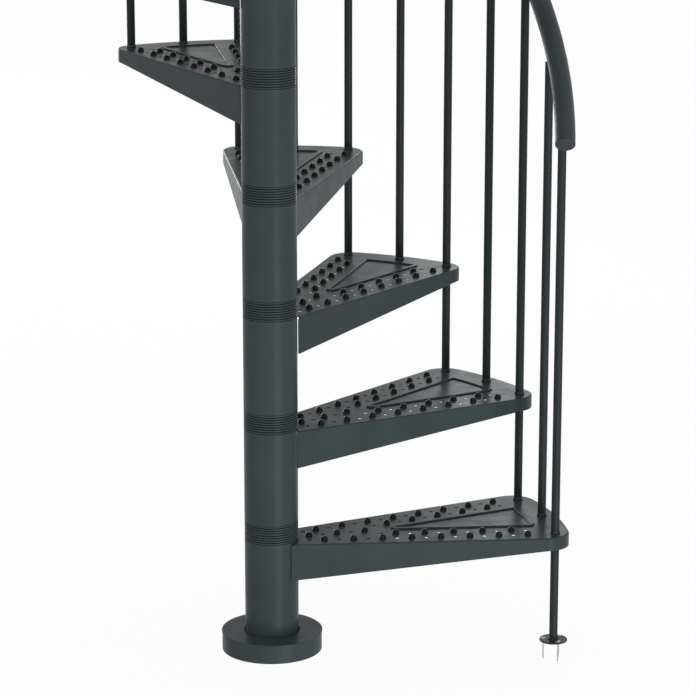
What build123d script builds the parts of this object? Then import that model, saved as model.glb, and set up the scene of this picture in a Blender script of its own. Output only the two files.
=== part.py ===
"""Outdoor spiral staircase: steel column, folded treads, one outer handrail.

Millimetres, +Z up. The origin is on the floor, on the axis of the column.
The stair climbs counter-clockwise seen from above, and +X runs just before
the start post. Eleven treads and a landing make twelve equal risers.
"""

from build123d import *
import os
from math import atan2, cos, degrees, radians, sin, sqrt

os.makedirs("parts", exist_ok=True)

# ---- driving dimensions ----------------------------------------------------

# the flight
riser = 230.0
tread_count = 11
step_angle = 23.5
start_angle = 2.8           # from +X to the start post
landing_steps = 3           # width of the landing, in steps

# the column
column_radius = 54.0
sleeve_wall = 4.0
sleeve_proud = 3.0          # a sleeve ends this far above its tread
pole_radius = 30.0
pole_wall = 5.0
ring_thickness = 5.0
rings_per_stack = 8
ring_groove_width = 2.6     # of the V between two rings, at its mouth
ring_groove_depth = 3.0
ring_clearance = 0.3        # between a ring's bore and the pole
newel_height = 900.0        # column above the landing
cap_height = 14.0
cap_shoulder = 6.0
cap_overhang = 1.5
cap_spigot = 12.0
spigot_clearance = 0.5

# the foot of the column
plate_radius = 90.0
plate_thickness = 10.0
anchor_circle = 72.0
anchor_hole_radius = 6.5
anchor_count = 4
cover_radius = 101.0
cover_lip = 1.0             # the cover's top overhangs its side
cover_height = 39.0
cover_wall = 3.0
cover_clearance = 2.6       # between the cover's hole and the column
cover_edge = 0.8

# the treads
tread_radius = 605.0
side_offset = 42.5          # from the column's axis to a side's plane
side_toe_in = 0.65          # a side turns in from the line to its corner post
side_start = 37.5           # along the side, where the skirt begins
skirt_round = 8.0           # of a skirt's upper corner at the column
skirt_foot_round = 3.0      # of its lower corner there
corner_radius = 50.0
sheet = 1.5
bend_radius = 3.4
skirt_height = 76.0         # at the column
rim_height = 27.0           # at the outer end
seam_width = 1.2            # of the groove where a side's fold meets the rim
seam_depth = 0.6

# the pressed bead on a tread
bead_inset = 86.0           # from a side's plane to the bead's centre line
bead_rim_inset = 67.0       # from the rim to the bead's outer run
bead_corner = 7.0
bead_width = 11.0
bead_height = 3.3
bead_round = 2.6

# the drain holes on a tread
hole_radius = 4.5
row_inset = 29.3            # from a side's plane to the first row, and on
row_pitch = 58.9
first_row_start = 76.5
second_row_start = 223.2
row_end_gap = 80.0          # left between a row and the rim
middle_row_start = 107.0
middle_row_pitch = 58.5
middle_row_gap = 20.0       # left between the middle row and the bead

# the ribs below the landing
rib_thickness = 5.0
rib_end_gap = 25.0          # from a rib's outer end to the rim

# posts and handrail
post_inset = 30.0           # from the rim to the posts' circle
post_radius = 8.6
post_hole_clearance = 0.3
rail_radius = 20.0
rail_wall = 2.5
rail_above_nosing = 890.0   # rail's centre line above a tread, at its front post
rail_overhang_angle = 7.7   # rail beyond the start post
rail_end_overhang = 6.0     # rail beyond the last landing post, in degrees
rail_lengths = 3
bend_past_post = 6.0        # middle of the rail's bend, in degrees past the landing's post
bend_half_angle = 4.5       # of the bend, each side of its middle
end_cap_thickness = 3.0
end_cap_round = 2.0

# the saddles between posts and handrail
saddle_depth = 11.0         # from the rail to the saddle's foot
saddle_clearance = 0.05
saddle_bite = 6.0           # the saddle's blank starts this far inside the rail
neck_radius = 3.5
neck_gap = 17.7             # between a post's top and its saddle
neck_embed = 4.0            # of the neck in the saddle

# the start post's foot
foot_radius = 28.5
foot_thickness = 3.0
foot_round = 0.8
screw_circle = 20.5
screw_first_angle = 52.0
screw_count = 3
screw_radius = 1.8
screw_clearance = 0.35
screw_head_radius = 5.0
screw_head_height = 2.0
screw_depth = 44.0          # below the floor
screw_point = 6.0
screw_tip_radius = 0.4

# ---- what follows from them ------------------------------------------------

post_circle = tread_radius - post_inset
bead_radius = tread_radius - bead_rim_inset
saddle_reach = rail_radius + saddle_depth
landing_top = riser * (tread_count + 1)
stack_height = ring_thickness * rings_per_stack
rail_slope = riser / step_angle                       # per degree
rail_angle = degrees(atan2(riser, radians(step_angle) * post_circle))
rail_pitch = 360.0 * rail_slope
landing_angle = start_angle + tread_count * step_angle
rail_start = start_angle - rail_overhang_angle
rail_finish = landing_angle + landing_steps * step_angle + rail_end_overhang
rail_low = riser + rail_above_nosing                  # centre line at the start post
bend_angle = landing_angle + bend_past_post
rail_landing = rail_low + (bend_angle - start_angle) * rail_slope
column_top = landing_top + sleeve_proud + newel_height
post_hole_radius = post_radius + post_hole_clearance
landing_post = 2 * tread_count
last_post = landing_post + 2 * landing_steps


def save(part, name):
    """Label a finished piece and write it under its node's name."""
    part.label = name
    export_step(part, f"parts/{name}.step")


def post_angle(index):
    """Angle of a post: there is one at each half step."""
    return start_angle + index * step_angle / 2


def rail_height(angle):
    """Height of the flight's rail centre line at an angle."""
    return rail_low + (angle - start_angle) * rail_slope


def on_circle(radius, angle, height):
    """Point at a radius and an angle about the column."""
    return Vector(radius * cos(radians(angle)), radius * sin(radians(angle)), height)


def outward_plane(angle, height):
    """Horizontal plane on the column's axis whose X runs out at an angle."""
    return Plane(origin=(0, 0, height), x_dir=on_circle(1, angle, 0), z_dir=(0, 0, 1))


def side_frame(half_span, side):
    """Directions along and square to a tread's side, in the tread's plane."""
    angle = radians(half_span - side_toe_in)
    along = (cos(angle), side * sin(angle))
    square = (-sin(angle), side * cos(angle))
    return along, square


def side_point(half_span, side, distance, offset):
    """Point at a distance along a side and an offset from the column's axis."""
    along, square = side_frame(half_span, side)
    return (
        along[0] * distance + square[0] * offset,
        along[1] * distance + square[1] * offset,
    )


def side_end(offset, radius):
    """Distance along a line at an offset where it meets a circle."""
    return sqrt(radius ** 2 - offset ** 2)


# ---- the foot of the column ------------------------------------------------


def build_base_plate():
    """Round plate on the floor, with a circle of anchor holes."""
    with BuildPart() as plate:
        with BuildSketch():
            Circle(plate_radius)
            with PolarLocations(anchor_circle, anchor_count, start_angle=45):
                Circle(anchor_hole_radius, mode=Mode.SUBTRACT)
        extrude(amount=plate_thickness)
    save(plate.part, "base_plate")


def build_base_cover():
    """Round cover over the base plate, open at the column."""
    inner = column_radius + cover_clearance
    outer = cover_radius + cover_lip
    under = cover_height - cover_wall
    with BuildPart() as cover:
        with BuildSketch(Plane.XZ):
            with BuildLine():
                Polyline(
                    (cover_radius, 0),
                    (cover_radius, under),
                    (outer, under),
                    (outer, cover_height),
                    (inner, cover_height),
                    (inner, under),
                    (cover_radius - cover_wall, under),
                    (cover_radius - cover_wall, 0),
                    close=True,
                )
            make_face()
        revolve(axis=Axis.Z)
        top = cover.edges().filter_by(GeomType.CIRCLE).group_by(Axis.Z)[-1]
        fillet(top.sort_by(SortBy.RADIUS)[-1], cover_edge)
    save(cover.part, "base_cover")


# ---- the column ------------------------------------------------------------


def build_centre_pole():
    """Inner tube that carries the column, from the base plate to the cap."""
    with BuildPart() as pole:
        with BuildSketch(Plane.XY.offset(plate_thickness)):
            Circle(pole_radius)
            Circle(pole_radius - pole_wall, mode=Mode.SUBTRACT)
        extrude(amount=column_top - plate_thickness)
    save(pole.part, "centre_pole")


def sleeve_spans():
    """Lower and upper end of each sleeve, one below each tread."""
    spans = [(plate_thickness, riser + sleeve_proud)]
    for level in range(1, tread_count + 1):
        foot = level * riser + sleeve_proud + stack_height
        spans.append((foot, (level + 1) * riser + sleeve_proud))
    return spans


def build_column_sleeves():
    """The outer tubes of the column, one to a riser."""
    with BuildPart() as sleeves:
        for low, high in sleeve_spans():
            with BuildSketch(Plane.XY.offset(low)):
                Circle(column_radius)
                Circle(column_radius - sleeve_wall, mode=Mode.SUBTRACT)
            extrude(amount=high - low)
    save(sleeves.part, "column_sleeves")


def build_newel():
    """The column's last tube, above the landing."""
    with BuildPart() as newel:
        with BuildSketch(Plane.XY.offset(landing_top + sleeve_proud)):
            Circle(column_radius)
            Circle(column_radius - sleeve_wall, mode=Mode.SUBTRACT)
        extrude(amount=newel_height)
    save(newel.part, "newel_tube")


def build_column_cap():
    """Domed cap on the newel, held by a spigot in its bore."""
    bore = column_radius - sleeve_wall - spigot_clearance
    clear = pole_radius + spigot_clearance
    outer = column_radius + cap_overhang
    peak = (0, column_top + cap_height)
    with BuildPart() as cap:
        with BuildSketch(Plane.XZ):
            with BuildLine():
                Polyline(
                    (0, column_top),
                    (clear, column_top),
                    (clear, column_top - cap_spigot),
                    (bore, column_top - cap_spigot),
                    (bore, column_top),
                    (outer, column_top),
                    (outer, column_top + cap_shoulder),
                )
                TangentArc(peak, (outer, column_top + cap_shoulder), tangent=(1, 0))
                Line(peak, (0, column_top))
            make_face()
        revolve(axis=Axis.Z)
    save(cap.part, "column_cap")


def build_rings(first, name):
    """Every second spacer ring of each stack, from the first one given."""
    bore = pole_radius + ring_clearance
    shoulder = column_radius - ring_groove_depth
    half_groove = ring_groove_width / 2
    with BuildPart() as rings:
        for level in range(1, tread_count + 1):
            foot = level * riser + sleeve_proud
            for index in range(first, rings_per_stack, 2):
                with BuildSketch(Plane.XZ):
                    with BuildLine():
                        low = foot + index * ring_thickness
                        high = low + ring_thickness
                        Polyline(
                            (bore, low),
                            (shoulder, low),
                            (column_radius, low + half_groove),
                            (column_radius, high - half_groove),
                            (shoulder, high),
                            (bore, high),
                            close=True,
                        )
                    make_face()
                revolve(axis=Axis.Z)
    save(rings.part, name)


# ---- the treads ------------------------------------------------------------


def pan_outline(plane, half_span, inset, inner_distance):
    """Outline of a tread on a plane, set in from its sides and its rim."""
    offset = side_offset - inset
    radius = tread_radius - inset
    far = side_end(offset, radius)
    front = side_point(half_span, -1, far, offset)
    rear = side_point(half_span, 1, far, offset)
    with BuildSketch(plane) as outline:
        with BuildLine():
            Polyline(
                front,
                side_point(half_span, -1, inner_distance, offset),
                side_point(half_span, 1, inner_distance, offset),
                rear,
            )
            ThreePointArc(rear, (radius, 0), front)
        make_face()
        corners = outline.vertices().sort_by_distance(plane.origin)[-2:]
        fillet(corners, corner_radius - inset)
    return outline.sketch


def bead_apex(half_span, grow):
    """Distance from the axis to the bead's inner corner."""
    return (bead_inset - side_offset - grow) / sin(radians(half_span - side_toe_in))


def bead_ring(plane, half_span, half_width):
    """The bead seen from above: a rounded sector less a smaller one."""
    with BuildSketch(plane) as ring:
        for grow, mode in ((half_width, Mode.ADD), (-half_width, Mode.SUBTRACT)):
            offset = side_offset - bead_inset + grow
            radius = bead_radius + grow
            far = side_end(offset, radius)
            front = side_point(half_span, -1, far, offset)
            rear = side_point(half_span, 1, far, offset)
            with BuildLine() as line:
                Polyline(front, (bead_apex(half_span, grow), 0), rear)
                ThreePointArc(rear, (radius, 0), front)
                fillet(line.vertices(), bead_corner + grow)
            make_face(mode=mode)
    return ring.sketch


def below_skirts(plane, half_span):
    """Side view of what is cut away below the tapered skirts and the rim."""
    start = side_point(half_span, 1, side_start, side_offset)[0]
    seam = seam_point(half_span, 1)[0]
    beyond = tread_radius + sheet
    with BuildSketch(plane) as cut:
        with BuildLine():
            Polyline(
                (start, -skirt_height),
                (seam, -rim_height),
                (beyond, -rim_height),
                (beyond, -skirt_height - sheet),
                (start, -skirt_height - sheet),
                close=True,
            )
        make_face()
    return cut.sketch


def skirt_plane(plate, half_span, side):
    """Upright plane in the middle of a skirt's sheet, from its upper inner corner."""
    along = side_frame(half_span, side)[0]
    corner = side_point(half_span, side, side_start, side_offset - sheet / 2)
    run = plate.x_dir * along[0] + plate.y_dir * along[1]
    return Plane(
        origin=plate.from_local_coords((*corner, 0)),
        x_dir=run,
        z_dir=run.cross(plate.z_dir),
    )


def seam_point(half_span, side):
    """Point on a side where its fold ends and the rounded rim begins."""
    distance = side_end(side_offset - corner_radius, tread_radius - corner_radius)
    return side_point(half_span, side, distance, side_offset)


def row_distances(start, pitch, limit):
    """Distances of a row's holes, from its start up to a limit."""
    count = int((limit - start) / pitch) + 1
    return [start + index * pitch for index in range(count)]


def hole_points(half_span, steps):
    """Centres of the drain holes: two rows along each side, and one between them."""
    points = []
    for row, start in enumerate((first_row_start, second_row_start), 1):
        offset = side_offset - row * row_inset
        limit = side_end(offset, tread_radius) - row_end_gap
        for distance in row_distances(start, row_pitch, limit):
            points.append(side_point(half_span, -1, distance, offset))
            points.append(side_point(half_span, 1, distance, offset))
    if steps == 1:
        apex = bead_apex(half_span, bead_width / 2)
        for distance in row_distances(middle_row_start, middle_row_pitch, apex - middle_row_gap):
            points.append((distance, 0))
    return points


def build_pan(top, front_angle, steps, name):
    """A folded sheet pan: plate, tapered skirts, rim, bead and holes."""
    half_span = steps * step_angle / 2
    middle = front_angle + half_span
    plate = outward_plane(middle, top)
    under = outward_plane(middle, top - sheet)
    side_view = Plane(origin=plate.origin, x_dir=plate.x_dir, z_dir=-plate.y_dir)
    front_post = on_circle(post_circle, -half_span, 0)

    with BuildPart() as pan:
        extrude(pan_outline(plate, half_span, 0, side_start), amount=-skirt_height)
        upper = pan.edges().group_by(Axis.Z)[-1].sort_by_distance(plate.origin)
        fillet(upper[1:], bend_radius)
        inside = pan_outline(under, half_span, sheet, 0)
        extrude(inside, amount=-skirt_height, mode=Mode.SUBTRACT)
        level = top - sheet
        inner = pan.edges().filter_by_position(Axis.Z, level - 0.1, level + 0.1)
        fillet(inner.sort_by_distance(under.origin)[1:], bend_radius - sheet)
        extrude(
            below_skirts(side_view, half_span),
            amount=tread_radius,
            both=True,
            mode=Mode.SUBTRACT,
        )
        with BuildSketch(plate):
            Circle(column_radius)
        extrude(amount=-skirt_height, mode=Mode.SUBTRACT)

        extrude(bead_ring(plate, half_span, bead_width / 2), amount=bead_height)
        fillet(pan.edges().group_by(Axis.Z)[-1], bead_round)
        groove = bead_ring(under, half_span, bead_width / 2 - sheet)
        extrude(groove, amount=bead_height, mode=Mode.SUBTRACT)

        with BuildSketch(plate):
            with Locations(*hole_points(half_span, steps)):
                Circle(hole_radius)
            with Locations((front_post.X, front_post.Y)):
                Circle(post_hole_radius)
        extrude(amount=-sheet, mode=Mode.SUBTRACT)

        with BuildSketch(outward_plane(middle, top - bend_radius)):
            for side in (-1, 1):
                turn = side * (half_span - side_toe_in)
                with Locations(seam_point(half_span, side)):
                    Rectangle(seam_width, 2 * seam_depth, rotation=turn)
        extrude(amount=-skirt_height, mode=Mode.SUBTRACT)

        for side in (-1, 1):
            with BuildSketch(skirt_plane(plate, half_span, side)):
                for level, radius, up in (
                    (0, skirt_round, 1),
                    (-skirt_height, skirt_foot_round, -1),
                ):
                    edge = level - up * radius
                    with BuildLine():
                        Polyline((radius, level), (-radius, level), (-radius, edge), (0, edge))
                        TangentArc((0, edge), (radius, level), tangent=(0, up))
                    make_face()
            extrude(amount=skirt_round, both=True, mode=Mode.SUBTRACT)
    save(pan.part, name)


def build_landing_ribs():
    """Flat ribs below the landing, on the lines between its steps."""
    start = column_radius + sheet
    end = tread_radius - sheet - rib_end_gap
    with BuildPart() as ribs:
        for index in range(1, landing_steps):
            angle = landing_angle + index * step_angle
            view = Plane(
                origin=(0, 0, landing_top),
                x_dir=on_circle(1, angle, 0),
                z_dir=on_circle(1, angle - 90, 0),
            )
            with BuildSketch(view):
                with BuildLine():
                    Polyline(
                        (start, -sheet),
                        (end, -sheet),
                        (end, -rim_height),
                        (start, -skirt_height),
                        close=True,
                    )
                make_face()
            extrude(amount=rib_thickness / 2, both=True)
    save(ribs.part, "landing_ribs")


# ---- posts -----------------------------------------------------------------


def build_posts(indexes, foot_of, name):
    """Round posts from their feet up to their saddles."""
    with BuildPart() as posts:
        for index in indexes:
            angle = post_angle(index)
            foot = foot_of(index)
            with BuildSketch(Plane.XY.offset(foot)):
                with Locations(on_circle(post_circle, angle, 0)):
                    Circle(post_radius)
            extrude(amount=post_top(index) - foot)
    save(posts.part, name)


def rail_climb(index):
    """Climb of the handrail at a post, in degrees."""
    if index <= landing_post:
        return rail_angle
    return 0


def post_top(index):
    """Height of a post's upper end, a neck's length below its saddle."""
    height = rail_height(post_angle(index)) if index <= landing_post else rail_landing
    return height - saddle_reach / cos(radians(rail_climb(index))) - neck_gap


def floor_foot(index):
    """The start post stands on its foot plate."""
    return foot_thickness


def corner_foot(index):
    """A corner post stands on the rear corner of one tread and passes the next."""
    return riser * index / 2


def middle_foot(index):
    """A middle post stands halfway along its tread's rim."""
    return riser * (index + 1) / 2


def landing_foot(index):
    """The landing's own posts stand on the landing."""
    return landing_top


def build_post_foot():
    """Round foot plate of the start post, with three screw holes."""
    centre = on_circle(post_circle, start_angle, 0)
    with BuildPart() as foot:
        with BuildSketch():
            with Locations(centre):
                Circle(foot_radius)
                with PolarLocations(screw_circle, screw_count, start_angle=screw_first_angle):
                    Circle(screw_radius + screw_clearance, mode=Mode.SUBTRACT)
        extrude(amount=foot_thickness)
        fillet(foot.edges().group_by(Axis.Z)[-1].sort_by(SortBy.RADIUS)[-1], foot_round)
    save(foot.part, "start_post_foot")


def build_screws():
    """The three screws that fix the start post's foot to the floor."""
    centre = on_circle(post_circle, start_angle, 0)
    with BuildPart() as screws:
        with Locations(centre):
            with PolarLocations(screw_circle, screw_count, start_angle=screw_first_angle):
                with Locations((0, 0, foot_thickness)):
                    Cylinder(
                        screw_head_radius,
                        screw_head_height,
                        align=(Align.CENTER, Align.CENTER, Align.MIN),
                    )
                with Locations((0, 0, screw_point - screw_depth)):
                    Cylinder(
                        screw_radius,
                        foot_thickness + screw_depth - screw_point,
                        align=(Align.CENTER, Align.CENTER, Align.MIN),
                    )
                with Locations((0, 0, -screw_depth)):
                    Cone(
                        screw_tip_radius,
                        screw_radius,
                        screw_point,
                        align=(Align.CENTER, Align.CENTER, Align.MIN),
                    )
    save(screws.part, "start_post_screws")


# ---- the handrail ----------------------------------------------------------


def rail_frame(angle, height, climb):
    """Plane square to the rail at an angle; its X runs down, away from the rail."""
    turn = radians(angle)
    rise = radians(climb)
    along = Vector(-sin(turn) * cos(rise), cos(turn) * cos(rise), sin(rise))
    down = Vector(-sin(turn) * sin(rise), cos(turn) * sin(rise), -cos(rise))
    return Plane(origin=on_circle(post_circle, angle, height), x_dir=down, z_dir=along)


def rail_section():
    """Round tube section of the handrail."""
    Circle(rail_radius)
    Circle(rail_radius - rail_wall, mode=Mode.SUBTRACT)


def build_rail_lengths():
    """The helical lengths of the handrail, end to end up to the landing's bend."""
    finish = bend_angle - bend_half_angle
    span = (finish - rail_start) / rail_lengths
    for number in range(rail_lengths):
        angle = rail_start + number * span
        foot = rail_height(angle)
        with BuildPart() as rail:
            with BuildLine(Plane.XY.offset(foot)):
                Helix(pitch=rail_pitch, height=span * rail_slope, radius=post_circle)
            with BuildSketch(rail_frame(0, foot, rail_angle)):
                rail_section()
            sweep(is_frenet=True)
        save(rail.part.rotate(Axis.Z, angle), f"handrail_{number + 1}")


def build_rail_bend():
    """The bend where the rail levels out at the landing."""
    low_angle = bend_angle - bend_half_angle
    high_angle = bend_angle + bend_half_angle
    low = rail_frame(low_angle, rail_height(low_angle), rail_angle)
    high = rail_frame(high_angle, rail_landing, 0)
    with BuildPart() as bend:
        with BuildLine():
            Spline(low.origin, high.origin, tangents=(low.z_dir, high.z_dir))
        with BuildSketch(low):
            rail_section()
        sweep()
    save(bend.part, "handrail_bend")


def build_landing_rail():
    """The level length of the handrail along the landing's rim."""
    first = bend_angle + bend_half_angle
    with BuildPart() as rail:
        with BuildSketch(rail_frame(first, rail_landing, 0)):
            rail_section()
        revolve(axis=Axis.Z, revolution_arc=rail_finish - first)
    save(rail.part, "handrail_landing")


def build_end_caps():
    """Round plugs that close the two ends of the handrail."""
    ends = (
        rail_frame(rail_start, rail_height(rail_start), rail_angle),
        rail_frame(rail_finish, rail_landing, 0),
    )
    with BuildPart() as caps:
        for end, direction in zip(ends, (-1, 1)):
            with BuildSketch(end):
                Circle(rail_radius)
            extrude(amount=direction * end_cap_thickness)
            rims = caps.edges().filter_by(GeomType.CIRCLE)
            outer = end.origin + end.z_dir * (direction * end_cap_thickness)
            fillet(rims.sort_by_distance(outer)[0], end_cap_round)
    save(caps.part, "handrail_end_caps")


def build_saddles():
    """Saddles between the posts and the rail: a shaped disc on a thin neck."""
    with BuildPart() as saddles:
        for index in range(last_post + 1):
            angle = post_angle(index)
            climb = rail_climb(index)
            back = degrees(saddle_reach * sin(radians(climb)) / post_circle)
            height = rail_height(angle - back) if climb else rail_landing
            rail = rail_frame(angle - back, height, climb)
            axis = Plane(origin=rail.origin, x_dir=rail.z_dir, z_dir=rail.x_dir)
            with BuildSketch(axis.offset(rail_radius - saddle_bite)):
                Circle(post_radius)
            extrude(amount=saddle_reach - rail_radius + saddle_bite)
            with BuildSketch(rail.offset(-2 * post_radius)):
                Circle(rail_radius + saddle_clearance)
            extrude(amount=4 * post_radius, mode=Mode.SUBTRACT)
            with BuildSketch(Plane.XY.offset(post_top(index))):
                with Locations(on_circle(post_circle, angle, 0)):
                    Circle(neck_radius)
            extrude(amount=neck_gap + neck_embed)
    save(saddles.part, "handrail_saddles")


# ---- the whole stair -------------------------------------------------------

build_base_plate()
build_base_cover()
build_centre_pole()
build_column_sleeves()
build_newel()
build_column_cap()
build_rings(0, "spacer_rings_odd")
build_rings(1, "spacer_rings_even")

for number in range(1, tread_count + 1):
    front = start_angle + (number - 1) * step_angle
    build_pan(number * riser, front, 1, f"tread_{number:02d}")
build_pan(landing_top, landing_angle, landing_steps, "landing")
build_landing_ribs()

build_posts([0], floor_foot, "start_post")
build_posts(range(2, landing_post + 1, 2), corner_foot, "corner_posts")
build_posts(range(1, landing_post, 2), middle_foot, "middle_posts")
build_posts(range(landing_post + 1, last_post + 1), landing_foot, "landing_posts")
build_post_foot()
build_screws()

build_rail_lengths()
build_rail_bend()
build_landing_rail()
build_end_caps()
build_saddles()
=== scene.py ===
"""Looks of the spiral stair: coated steel, black grip buttons, studio light."""
from math import atan2, cos, degrees, hypot, pi, radians, sin

import bmesh
import bpy
from mathutils import Matrix, Vector


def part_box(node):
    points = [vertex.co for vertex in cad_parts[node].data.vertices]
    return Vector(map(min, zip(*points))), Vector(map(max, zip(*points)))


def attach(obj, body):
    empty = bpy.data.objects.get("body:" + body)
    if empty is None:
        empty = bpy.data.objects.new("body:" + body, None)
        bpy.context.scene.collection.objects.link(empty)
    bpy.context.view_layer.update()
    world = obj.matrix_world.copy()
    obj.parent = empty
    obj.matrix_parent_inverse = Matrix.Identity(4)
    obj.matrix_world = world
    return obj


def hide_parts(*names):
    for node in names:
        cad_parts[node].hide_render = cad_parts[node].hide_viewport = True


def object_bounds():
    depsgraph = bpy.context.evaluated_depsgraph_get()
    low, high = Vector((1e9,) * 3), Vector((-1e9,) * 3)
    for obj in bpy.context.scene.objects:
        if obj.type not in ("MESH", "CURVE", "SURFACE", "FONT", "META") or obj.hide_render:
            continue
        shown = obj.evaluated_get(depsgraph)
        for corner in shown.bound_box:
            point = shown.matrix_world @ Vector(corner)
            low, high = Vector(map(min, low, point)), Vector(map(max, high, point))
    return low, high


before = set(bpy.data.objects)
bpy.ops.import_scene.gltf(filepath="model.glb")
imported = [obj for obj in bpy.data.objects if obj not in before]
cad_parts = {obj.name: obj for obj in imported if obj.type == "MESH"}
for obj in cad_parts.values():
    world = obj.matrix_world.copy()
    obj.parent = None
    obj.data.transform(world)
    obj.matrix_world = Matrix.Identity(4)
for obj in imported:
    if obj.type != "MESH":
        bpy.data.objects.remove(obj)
cad_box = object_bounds()

# ---- sizes, in metres and degrees -------------------------------------------


def node_centre(name):
    """Middle of a node's box."""
    low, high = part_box(name)
    return (low + high) / 2


STEP = 23.5                 # a tread's share of the turn
LANDING_STEPS = 3           # the landing's width, in treads
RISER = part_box("tread_02")[0].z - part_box("tread_01")[0].z
TREADS = sum(name.startswith("tread_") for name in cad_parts)
FIRST_POST = node_centre("start_post")
POST_CIRCLE = hypot(FIRST_POST.x, FIRST_POST.y)
START = degrees(atan2(FIRST_POST.y, FIRST_POST.x))
POST_RADIUS = (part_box("start_post")[1].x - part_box("start_post")[0].x) / 2
FOOT_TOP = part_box("start_post_foot")[1].z
FLOOR_LEVEL = cad_box[0].z - 0.0002

# the screws of the start post's foot: where they are, the head, the thread
SCREW_CIRCLE = 0.0205
SCREW_ANGLES = (52, 172, 292)
HEAD_RADIUS = 0.0050
HEAD_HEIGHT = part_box("start_post_screws")[1].z - FOOT_TOP
HEAD_CROWN = 0.0009
CROSS_REACH = 0.0027
CROSS_HALF_WIDTH = 0.0005
CROSS_DEPTH = 0.0013
SCREW_LENGTH = FOOT_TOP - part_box("start_post_screws")[0].z
THREAD_PITCH = 0.0022
ROOT_RADIUS = 0.0012
CREST_RADIUS = 0.0018
POINT_LENGTH = 0.0060
THREAD_HALF_WIDTH = 0.3     # of a turn of thread, as a share of the pitch
CROWN_POWER = 3             # how sharply the head's crown falls to its edge
CROSS_POWER = 0.3           # how steeply the recess falls from its ends

# the grip buttons' rows on a tread, measured along and off its sides
SIDE_TOE_IN = 0.65
BUTTON_PITCH = 0.0589
OUTER_ROW = (0.106, 0.0132, 8)      # first button, offset from the axis, count
INNER_ROW = (0.2527, -0.0161, 5)
MIDDLE_ROW = (0.078, 0.1365, 0.195)

# the studio
FLOOR_REACH = 30.0
FLOOR_COLOR = 0.9
FLOOR_WHITE = 0.94          # the floor's share of plain white; the rest keeps the shadow
WORLD_LIGHT = 0.75
WHITE = (1, 1, 1)

# ---- materials ----------------------------------------------------------------

NOISE_LOW, NOISE_HIGH = 0.35, 0.65      # where most of a noise's values lie
MIX_FACTOR, MIX_FIRST, MIX_SECOND, MIX_RESULT = 0, 6, 7, 2      # a colour mix's sockets
MOTTLE_SCALE = 9.0          # of a coat's drifts of colour
MOTTLE_DETAIL = 3.0
PATCH_SCALE = 25.0          # of its drifts of gloss
PATCH_RANGE = (0.9, 1.12)   # the roughness there, as shares of its middle value
BUMP_STRENGTH = 0.25
SPANGLE_SCALE = 300.0       # of the clouds on zinc
SPANGLE_SPREAD = 0.12
SPANGLE_RANGE = (0.8, 1.2)


def new_material(name):
    """A material with its shader and its output, and nothing else."""
    material = bpy.data.materials.new(name)
    material.use_nodes = True
    tree = material.node_tree
    tree.nodes.clear()
    shader = tree.nodes.new("ShaderNodeBsdfPrincipled")
    output = tree.nodes.new("ShaderNodeOutputMaterial")
    tree.links.new(shader.outputs["BSDF"], output.inputs["Surface"])
    return material, tree, shader


def noise(tree, scale, detail=2.0):
    """A noise texture in object space."""
    coords = tree.nodes.new("ShaderNodeTexCoord")
    texture = tree.nodes.new("ShaderNodeTexNoise")
    texture.inputs["Scale"].default_value = scale
    texture.inputs["Detail"].default_value = detail
    tree.links.new(coords.outputs["Object"], texture.inputs["Vector"])
    return texture.outputs["Fac"]


def spread_to(tree, source, low, high):
    """Maps the middle range of a noise to a range of numbers."""
    node = tree.nodes.new("ShaderNodeMapRange")
    node.inputs["From Min"].default_value = NOISE_LOW
    node.inputs["From Max"].default_value = NOISE_HIGH
    node.inputs["To Min"].default_value = low
    node.inputs["To Max"].default_value = high
    tree.links.new(source, node.inputs["Value"])
    return node.outputs["Result"]


def mottle(tree, shader, color, spread, scale):
    """Base colour that drifts a little about its middle value."""
    mix = tree.nodes.new("ShaderNodeMix")
    mix.data_type = "RGBA"
    mix.inputs[MIX_FIRST].default_value = (*[c * (1 - spread) for c in color], 1)
    mix.inputs[MIX_SECOND].default_value = (*[c * (1 + spread) for c in color], 1)
    share = spread_to(tree, noise(tree, scale, MOTTLE_DETAIL), 0.0, 1.0)
    tree.links.new(share, mix.inputs[MIX_FACTOR])
    tree.links.new(mix.outputs[MIX_RESULT], shader.inputs["Base Color"])


def bumps(tree, shader, scale, depth):
    """A fine relief of one grain size."""
    bump = tree.nodes.new("ShaderNodeBump")
    bump.inputs["Strength"].default_value = BUMP_STRENGTH
    bump.inputs["Distance"].default_value = depth
    tree.links.new(noise(tree, scale), bump.inputs["Height"])
    tree.links.new(bump.outputs["Normal"], shader.inputs["Normal"])


def coat_material(name, color, rough, ior, spread=0.06, grain=700.0, depth=0.00004):
    """Stoved powder coat: faint mottling, an orange-peel skin, a soft gloss."""
    material, tree, shader = new_material(name)
    mottle(tree, shader, color, spread, MOTTLE_SCALE)
    low, high = [rough * share for share in PATCH_RANGE]
    patches = spread_to(tree, noise(tree, PATCH_SCALE), low, high)
    tree.links.new(patches, shader.inputs["Roughness"])
    bumps(tree, shader, grain, depth)
    shader.inputs["IOR"].default_value = ior
    return material


def zinc_material(name, color, rough):
    """Plated steel with a faint cloudy spangle."""
    material, tree, shader = new_material(name)
    mottle(tree, shader, color, SPANGLE_SPREAD, SPANGLE_SCALE)
    low, high = [rough * share for share in SPANGLE_RANGE]
    patches = spread_to(tree, noise(tree, SPANGLE_SCALE, MOTTLE_DETAIL), low, high)
    tree.links.new(patches, shader.inputs["Roughness"])
    shader.inputs["Metallic"].default_value = 1.0
    return material


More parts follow.
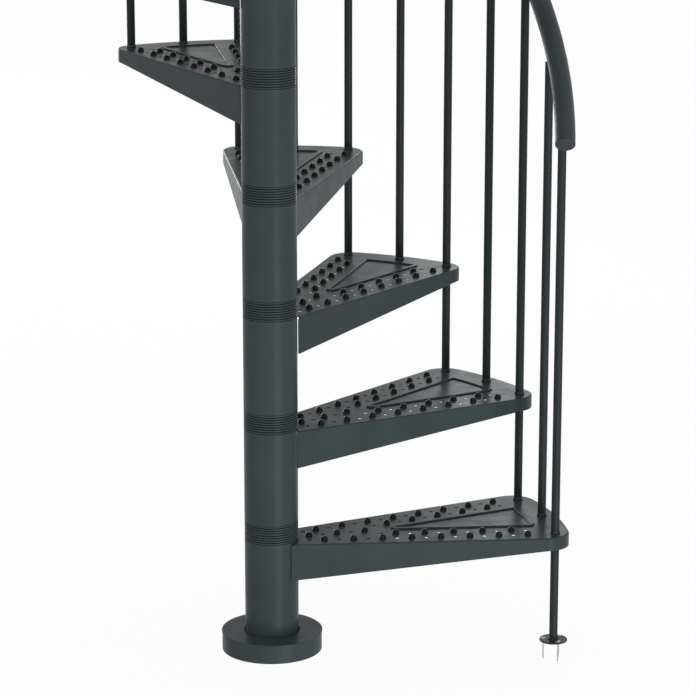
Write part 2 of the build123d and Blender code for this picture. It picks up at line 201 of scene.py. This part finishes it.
COAT = coat_material("anthracite_coat", (0.034, 0.048, 0.050), 0.33, 1.13)
# the posts' coat: the treads' anthracite with a darker base colour, painted shade that stands in for
# the light falling darker on the posts
SHADED_POST_COAT = coat_material("post_coat", (0.019, 0.026, 0.027), 0.42, 1.18)
RAIL_COAT = coat_material("rail_coat", (0.030, 0.040, 0.043), 0.40, 1.25, grain=500.0)
BLACK = coat_material("black_plastic", (0.012, 0.013, 0.014), 0.35, 1.40, grain=400.0)
RUBBER = coat_material(
    "grip_rubber", (0.005, 0.006, 0.007), 0.34, 1.28, spread=0.15, grain=900.0
)
ZINC = zinc_material("zinc_steel", (0.50, 0.51, 0.52), 0.45)
SCREW = zinc_material("zinc_screw", (0.36, 0.37, 0.38), 0.30)

NODE_MATERIALS = {
    "base_plate": ZINC,
    "centre_pole": ZINC,
    "start_post_screws": SCREW,
    "column_cap": BLACK,
    "handrail_saddles": BLACK,
    "start_post": SHADED_POST_COAT,
    "corner_posts": SHADED_POST_COAT,
    "middle_posts": SHADED_POST_COAT,
    "landing_posts": SHADED_POST_COAT,
    "start_post_foot": SHADED_POST_COAT,
    "handrail_1": RAIL_COAT,
    "handrail_2": RAIL_COAT,
    "handrail_3": RAIL_COAT,
    "handrail_bend": RAIL_COAT,
    "handrail_landing": RAIL_COAT,
    "handrail_end_caps": RAIL_COAT,
}
for name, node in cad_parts.items():
    node.data.materials.clear()
    node.data.materials.append(NODE_MATERIALS.get(name, COAT))


# ---- turned pieces --------------------------------------------------------------

# a grip button: a flange on the tread, a groove, a dome
BUTTON_PROFILE = (
    (0.0070, -0.0002), (0.0073, 0.0003), (0.0073, 0.0014), (0.0070, 0.0020),
    (0.0065, 0.0022), (0.0064, 0.0027), (0.0066, 0.0033), (0.0065, 0.0044),
    (0.0060, 0.0057), (0.0051, 0.0068), (0.0038, 0.0077), (0.0021, 0.0082),
    (0.0, 0.0084),
)
BUTTON_SIDES = 24

# a post's collar, from its flared foot up to the post; radii beyond the post's
COLLAR_PROFILE = (
    (0.0015, 0.0), (0.0016, 0.0008), (0.0013, 0.0022), (0.0011, 0.0044),
    (0.0009, 0.0052), (0.0005, 0.0056), (-0.0001, 0.0056),
)
FOOT_COLLAR_HEIGHT = 0.6    # of the others' height
COLLAR_SIDES = 32
HEAD_STEPS = 16
HEAD_SIDES = 48
SHANK_SIDES = 20
ROWS_PER_PITCH = 6


def add_rings(mesh, rings):
    """Joins rings of points into a skin; a ring of one point closes it."""
    rows = [[mesh.verts.new(point) for point in points] for points in rings]
    for low, high in zip(rows, rows[1:]):
        sides = len(low)
        for k in range(sides):
            a, b = low[k], low[(k + 1) % sides]
            if len(high) == 1:
                mesh.faces.new((a, b, high[0]))
            else:
                mesh.faces.new((a, b, high[(k + 1) % sides], high[k]))


def ring(place, sides, radius_at, height_at):
    """Points once round an axis, their radius and height given by the turn."""
    points = []
    for k in range(sides):
        turn = 2 * pi * k / sides
        radius = radius_at(turn)
        points.append(place @ Vector((radius * cos(turn), radius * sin(turn), height_at(turn))))
    return points


def add_lathe(mesh, place, profile, sides):
    """Adds a turned shape; its profile runs from the foot to the top."""
    rings = []
    for radius, height in profile:
        count = sides if radius else 1
        rings.append(ring(place, count, lambda turn: radius, lambda turn: height))
    add_rings(mesh, rings)


def finish_piece(mesh, name, material):
    """Makes an object of a mesh, lets it ride on the stair and returns it."""
    for face in mesh.faces:
        face.smooth = True
    data = bpy.data.meshes.new(name)
    mesh.to_mesh(data)
    mesh.free()
    piece = bpy.data.objects.new(name, data)
    bpy.context.scene.collection.objects.link(piece)
    data.materials.append(material)
    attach(piece, "root")
    return piece


def side_point(half_span, side, distance, offset):
    """Point along a tread's side, in the tread's own frame."""
    angle = radians(half_span - SIDE_TOE_IN)
    return Vector((
        cos(angle) * distance - sin(angle) * offset,
        side * (sin(angle) * distance + cos(angle) * offset),
        0,
    ))


def button_points(half_span, steps):
    """Centres of the grip buttons: two rows by each side, one between them."""
    points = []
    for side in (-1, 1):
        for first, offset, count in (OUTER_ROW, INNER_ROW):
            for index in range(count):
                distance = first + index * BUTTON_PITCH
                points.append(side_point(half_span, side, distance, offset))
    if steps == 1:
        points += [Vector((distance, 0, 0)) for distance in MIDDLE_ROW]
    return points


def build_buttons(top, front, steps, name):
    """The buttons of one tread, as one piece."""
    mesh = bmesh.new()
    half_span = steps * STEP / 2
    turn = Matrix.Rotation(radians(front + half_span), 4, "Z")
    for point in button_points(half_span, steps):
        place = Matrix.Translation((0, 0, top)) @ turn @ Matrix.Translation(point)
        add_lathe(mesh, place, BUTTON_PROFILE, BUTTON_SIDES)
    finish_piece(mesh, name, RUBBER)


def build_collars(top, posts, name, stretch=1.0):
    """The collars round the posts on one tread, as one piece."""
    mesh = bmesh.new()
    profile = [(POST_RADIUS + beyond, height) for beyond, height in COLLAR_PROFILE]
    for index in posts:
        angle = radians(START + index * STEP / 2)
        centre = (POST_CIRCLE * cos(angle), POST_CIRCLE * sin(angle), top)
        place = Matrix.Translation(centre) @ Matrix.Diagonal((1, 1, stretch, 1))
        add_lathe(mesh, place, profile, COLLAR_SIDES)
    finish_piece(mesh, name, BLACK)


def head_top(radius, turn):
    """Height of a screw head over the foot: a low crown with a cross recess."""
    crown = HEAD_HEIGHT - HEAD_CROWN * (radius / HEAD_RADIUS) ** CROWN_POWER
    near, far = sorted((abs(radius * cos(turn)), abs(radius * sin(turn))))
    if near < CROSS_HALF_WIDTH and far < CROSS_REACH:
        return crown - CROSS_DEPTH * (1 - far / CROSS_REACH) ** CROSS_POWER
    return crown


def thread_radius(depth, turn):
    """Radius of a screw's shank at a depth below the foot's top and a turn."""
    phase = (depth / THREAD_PITCH + turn / (2 * pi)) % 1.0
    crest = max(0.0, 1 - abs(phase - 0.5) / THREAD_HALF_WIDTH)
    radius = ROOT_RADIUS + (CREST_RADIUS - ROOT_RADIUS) * crest
    return radius * min(1.0, (SCREW_LENGTH - depth) / POINT_LENGTH)


def add_screw(mesh, place):
    """Adds a screw: its head stands on the origin, its thread runs down."""
    head = [[place @ Vector((0, 0, head_top(0, 0)))]]
    for step in range(1, HEAD_STEPS + 1):
        radius = HEAD_RADIUS * step / HEAD_STEPS
        head.append(ring(place, HEAD_SIDES, lambda turn: radius, lambda turn: head_top(radius, turn)))
    head.append(ring(place, HEAD_SIDES, lambda turn: HEAD_RADIUS, lambda turn: 0))
    add_rings(mesh, head[::-1])
    shank = []
    rows = round(SCREW_LENGTH / THREAD_PITCH * ROWS_PER_PITCH)
    for row in range(rows):
        depth = SCREW_LENGTH * row / rows
        shank.append(ring(
            place,
            SHANK_SIDES,
            lambda turn: thread_radius(depth, turn),
            lambda turn: -depth,
        ))
    shank.append([place @ Vector((0, 0, -SCREW_LENGTH))])
    add_rings(mesh, [row[::-1] for row in shank])


def build_screws():
    """The screws of the start post's foot, as one piece."""
    mesh = bmesh.new()
    post = (POST_CIRCLE * cos(radians(START)), POST_CIRCLE * sin(radians(START)), FOOT_TOP)
    for angle in SCREW_ANGLES:
        turn = Matrix.Rotation(radians(angle), 4, "Z")
        place = Matrix.Translation(post) @ turn @ Matrix.Translation((SCREW_CIRCLE, 0, 0))
        add_screw(mesh, place)
    piece = finish_piece(mesh, "floor_screws", SCREW)
    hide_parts("start_post_screws")


for number in range(1, TREADS + 1):
    front = START + (number - 1) * STEP
    build_buttons(number * RISER, front, 1, f"grip_buttons_{number:02d}")
    posts = range(2 * number - 2, 2 * number + 1)
    build_collars(number * RISER, posts, f"post_collars_{number:02d}")
landing_top = (TREADS + 1) * RISER
build_buttons(landing_top, START + TREADS * STEP, LANDING_STEPS, "grip_buttons_landing")
last_post = 2 * (TREADS + LANDING_STEPS)
build_collars(landing_top, range(2 * TREADS, last_post + 1), "post_collars_landing")
build_collars(FOOT_TOP, [0], "start_post_collar", FOOT_COLLAR_HEIGHT)
build_screws()


# ---- studio -----------------------------------------------------------------------


def seen_or_mirrored(tree):
    """1 for rays from the camera and for mirrored and refracted ones, else 0."""
    path = tree.nodes.new("ShaderNodeLightPath")
    total = path.outputs["Is Camera Ray"]
    for kind in ("Is Glossy Ray", "Is Transmission Ray"):
        either = tree.nodes.new("ShaderNodeMath")
        either.operation = "MAXIMUM"
        tree.links.new(total, either.inputs[0])
        tree.links.new(path.outputs[kind], either.inputs[1])
        total = either.outputs[0]
    return total


def build_floor():
    """A wide white floor. Mirrored rays pass it, and so does light from below."""
    material, tree, shader = new_material("studio_floor")
    shader.inputs["Base Color"].default_value = (FLOOR_COLOR, FLOOR_COLOR, FLOOR_COLOR, 1)
    shader.inputs["Roughness"].default_value = 1.0
    shader.inputs["Specular IOR Level"].default_value = 0.0
    white = tree.nodes.new("ShaderNodeEmission")
    share = tree.nodes.new("ShaderNodeMath")
    share.operation = "MULTIPLY"
    share.inputs[1].default_value = FLOOR_WHITE
    tree.links.new(seen_or_mirrored(tree), share.inputs[0])
    blend = tree.nodes.new("ShaderNodeMixShader")
    output = tree.nodes["Material Output"]
    tree.links.new(share.outputs[0], blend.inputs[0])
    tree.links.new(shader.outputs[0], blend.inputs[1])
    tree.links.new(white.outputs[0], blend.inputs[2])
    tree.links.new(blend.outputs[0], output.inputs["Surface"])
    data = bpy.data.meshes.new("studio_floor")
    corners = [(-1, -1), (1, -1), (1, 1), (-1, 1)]
    points = [(x * FLOOR_REACH, y * FLOOR_REACH, FLOOR_LEVEL) for x, y in corners]
    data.from_pydata(points, [], [(0, 1, 2, 3)])
    data.materials.append(material)
    floor = bpy.data.objects.new("studio_floor", data)
    floor.visible_glossy = False
    floor.visible_shadow = False
    bpy.context.scene.collection.objects.link(floor)


def build_world():
    """White as a background and in mirrored rays; softer as a light."""
    world = bpy.data.worlds.new("studio_world")
    bpy.context.scene.world = world
    world.use_nodes = True
    tree = world.node_tree
    tree.nodes.clear()
    light = tree.nodes.new("ShaderNodeBackground")
    light.inputs["Color"].default_value = (*WHITE, 1)
    light.inputs["Strength"].default_value = WORLD_LIGHT
    white = tree.nodes.new("ShaderNodeBackground")
    white.inputs["Color"].default_value = (*WHITE, 1)
    blend = tree.nodes.new("ShaderNodeMixShader")
    output = tree.nodes.new("ShaderNodeOutputWorld")
    tree.links.new(seen_or_mirrored(tree), blend.inputs[0])
    tree.links.new(light.outputs[0], blend.inputs[1])
    tree.links.new(white.outputs[0], blend.inputs[2])
    tree.links.new(blend.outputs[0], output.inputs["Surface"])


def soft_box(name, place, aim, width, height, glow, color=WHITE):
    """A soft box of a size in metres and a brightness, aimed at a point."""
    data = bpy.data.lights.new(name, "AREA")
    data.shape = "RECTANGLE"
    data.size = width
    data.size_y = height
    data.energy = glow * pi * width * height
    data.color = color
    light = bpy.data.objects.new(name, data)
    light.location = place
    light.rotation_euler = (Vector(place) - Vector(aim)).to_track_quat("Z", "Y").to_euler()
    light.visible_camera = False
    bpy.context.scene.collection.objects.link(light)


build_floor()
build_world()
# the strip stands below the floor, where the column mirrors it to the camera
soft_box("strip", (4.06, -6.89, -2.3), (0, 0, -2.3), width=3.0, height=4.4, glow=10.5)
soft_box("front", (-2.4, -5.2, 1.55), (0, 0, 0.9), width=3.0, height=2.8, glow=1.3)
soft_box(
    "back", (0.8, 4.0, 1.8), (0.4, 0.1, 0.4), width=0.6, height=0.6, glow=6.3, color=(0.92, 0.99, 1.0)
)
soft_box("rear_fill", (-3.2, 6.6, 1.3), (0, 0, 1.3), width=2.6, height=2.5, glow=6.3)

# ---- camera -------------------------------------------------------------------------

CAMERA_PLACE = (0.0426, -5.74933, 2.13449)
CAMERA_DIP = 14.6935        # below level
CAMERA_TURN = -1.11         # from facing +Y
CAMERA_LENS = 155.245       # in millimetres, as the sensor's width is
SENSOR_WIDTH = 36.0

camera_data = bpy.data.cameras.new("camera")
camera_data.lens = CAMERA_LENS
camera_data.sensor_width = SENSOR_WIDTH
camera = bpy.data.objects.new("camera", camera_data)
camera.location = CAMERA_PLACE
camera.rotation_euler = (radians(90 - CAMERA_DIP), 0, radians(CAMERA_TURN))
bpy.context.scene.collection.objects.link(camera)
bpy.context.scene.camera = camera
bpy.context.scene.view_settings.view_transform = "Standard"
